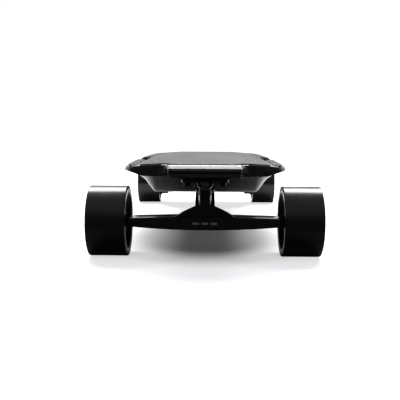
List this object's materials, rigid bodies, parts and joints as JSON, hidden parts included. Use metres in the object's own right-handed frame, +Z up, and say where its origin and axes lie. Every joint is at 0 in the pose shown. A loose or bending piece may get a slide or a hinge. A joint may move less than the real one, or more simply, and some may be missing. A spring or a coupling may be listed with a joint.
{
  "type": "electric skateboard",
  "caption": "Electric longboard with a winged monocoque deck and hull, double-kingpin trucks, wide smooth urethane wheels and twin rear belt drive.",
  "frame": {"origin": "on the ground below the middle of the wheelbase, on the board's centre line", "axes": "+Y from nose to tail, +X to the side, +Z up"},
  "size_m": [0.366, 0.96, 0.1473],
  "materials": {
    "carbon_shell": "gloss clear-coated forged carbon",
    "grip": "fine rough grip mat",
    "bumper": "satin moulded rubber",
    "tyre": "smooth cast urethane, satin gloss",
    "core": "moulded glass-filled nylon",
    "black_alloy": "black anodised forged aluminium",
    "steel": "machined steel",
    "dark_steel": "black oxide steel",
    "bushing": "cast urethane",
    "riser": "shock pad rubber",
    "belt": "ribbed neoprene belt",
    "guard": "moulded nylon cover",
    "motor_case": "black anodised, turned",
    "stator": "lacquered laminations and copper windings",
    "lid": "satin textured composite",
    "cell": "shrink sleeve",
    "tray": "moulded frame",
    "board": "circuit board",
    "heatsink": "extruded aluminium",
    "button": "gloss button",
    "fitting": "moulded fitting"
  },
  "bodies": {
    "deck": {"battery_cells": "cell", "battery_tray": "tray", "bms_board": "board", "button_bezel": "fitting", "charge_port": "fitting", "deck_screws": "steel", "deck_shell": "carbon_shell", "front_baseplate": "black_alloy", "grip_mat": "grip", "hull_lid": "lid", "lid_gasket": "riser", "lid_screws": "dark_steel", "motor_controller": "heatsink", "nose_bumper": "bumper", "rear_baseplate": "black_alloy", "riser_pads": "riser", "tail_bumper": "bumper", "truck_bolts": "dark_steel", "upper_bushings": "bushing", "upper_kingpins": "steel", "wing_grips": "grip"},
    "front_yoke_body": {"front_yoke": "black_alloy", "front_lower_kingpin": "steel", "front_lower_bushings": "bushing"},
    "rear_yoke_body": {"rear_yoke": "black_alloy", "rear_lower_kingpin": "steel", "rear_lower_bushings": "bushing"},
    "front_axle_body": {"front_hanger": "black_alloy", "front_axle": "steel", "front_axle_nuts": "steel"},
    "rear_axle_body": {"rear_hanger": "black_alloy", "rear_axle": "steel", "rear_axle_nuts": "steel", "motor_mounts": "black_alloy", "motor_housings": "motor_case", "motor_stators": "stator", "mount_screws": "dark_steel", "drive_belts": "belt", "belt_guards": "guard"},
    "front_left_wheel": {"front_left_tyre": "tyre", "front_left_wheel_core": "core", "front_left_bearings": "steel"},
    "front_right_wheel": {"front_right_tyre": "tyre", "front_right_wheel_core": "core", "front_right_bearings": "steel"},
    "rear_left_wheel": {"rear_left_tyre": "tyre", "rear_left_wheel_core": "core", "rear_left_bearings": "steel", "left_wheel_pulley": "black_alloy"},
    "rear_right_wheel": {"rear_right_tyre": "tyre", "rear_right_wheel_core": "core", "rear_right_bearings": "steel", "right_wheel_pulley": "black_alloy"},
    "left_motor": {"left_motor_rotor": "steel", "left_motor_pulley": "black_alloy"},
    "right_motor": {"right_motor_rotor": "steel", "right_motor_pulley": "black_alloy"},
    "power_button_body": {"power_button": "button"},
    "charge_cap_body": {"charge_cap": "fitting"}
  },
  "joints": [
    {"name": "front_upper_steer", "type": "hinge", "parent": "deck", "child": "front_yoke_body", "pos_m": [0, -0.34847, 0.09545], "axis": [0, 0.5736, -0.8192], "range_deg": [-8, 8], "stiffness_Nm_per_rad": 60},
    {"name": "front_lower_steer", "type": "hinge", "parent": "front_yoke_body", "child": "front_axle_body", "pos_m": [0, -0.39, 0.092], "axis": [0, 0.5736, -0.8192], "range_deg": [-8, 8], "stiffness_Nm_per_rad": 60},
    {"name": "rear_upper_steer", "type": "hinge", "parent": "deck", "child": "rear_yoke_body", "pos_m": [0, 0.34847, 0.09545], "axis": [0, -0.5736, -0.8192], "range_deg": [-8, 8], "stiffness_Nm_per_rad": 60},
    {"name": "rear_lower_steer", "type": "hinge", "parent": "rear_yoke_body", "child": "rear_axle_body", "pos_m": [0, 0.39, 0.092], "axis": [0, -0.5736, -0.8192], "range_deg": [-8, 8], "stiffness_Nm_per_rad": 60},
    {"name": "front_left_wheel_spin", "type": "hinge", "parent": "front_axle_body", "child": "front_left_wheel", "pos_m": [0, -0.38, 0.0535], "axis": [1, 0, 0], "continuous": true},
    {"name": "front_right_wheel_spin", "type": "hinge", "parent": "front_axle_body", "child": "front_right_wheel", "pos_m": [0, -0.38, 0.0535], "axis": [1, 0, 0], "continuous": true},
    {"name": "rear_left_wheel_spin", "type": "hinge", "parent": "rear_axle_body", "child": "rear_left_wheel", "pos_m": [0, 0.38, 0.0535], "axis": [1, 0, 0], "continuous": true},
    {"name": "rear_right_wheel_spin", "type": "hinge", "parent": "rear_axle_body", "child": "rear_right_wheel", "pos_m": [0, 0.38, 0.0535], "axis": [1, 0, 0], "continuous": true},
    {"name": "left_motor_spin", "type": "hinge", "parent": "rear_axle_body", "child": "left_motor", "pos_m": [0, 0.2946, 0.07], "axis": [1, 0, 0], "continuous": true},
    {"name": "right_motor_spin", "type": "hinge", "parent": "rear_axle_body", "child": "right_motor", "pos_m": [0, 0.2946, 0.07], "axis": [1, 0, 0], "continuous": true},
    {"name": "power_button_press", "type": "slide", "parent": "deck", "child": "power_button_body", "axis": [-1, 0, 0], "range_m": [0, 0.0015], "stiffness_N_per_m": 900},
    {"name": "charge_cap_hinge", "type": "hinge", "parent": "deck", "child": "charge_cap_body", "pos_m": [0.11725, 0.108, 0.1329], "axis": [0, -1, 0], "range_deg": [0, 100]}
  ],
  "couplings": [
    {"joint": "left_motor_spin", "follows": "rear_left_wheel_spin", "ratio": 2.4},
    {"joint": "right_motor_spin", "follows": "rear_right_wheel_spin", "ratio": 2.4}
  ]
}
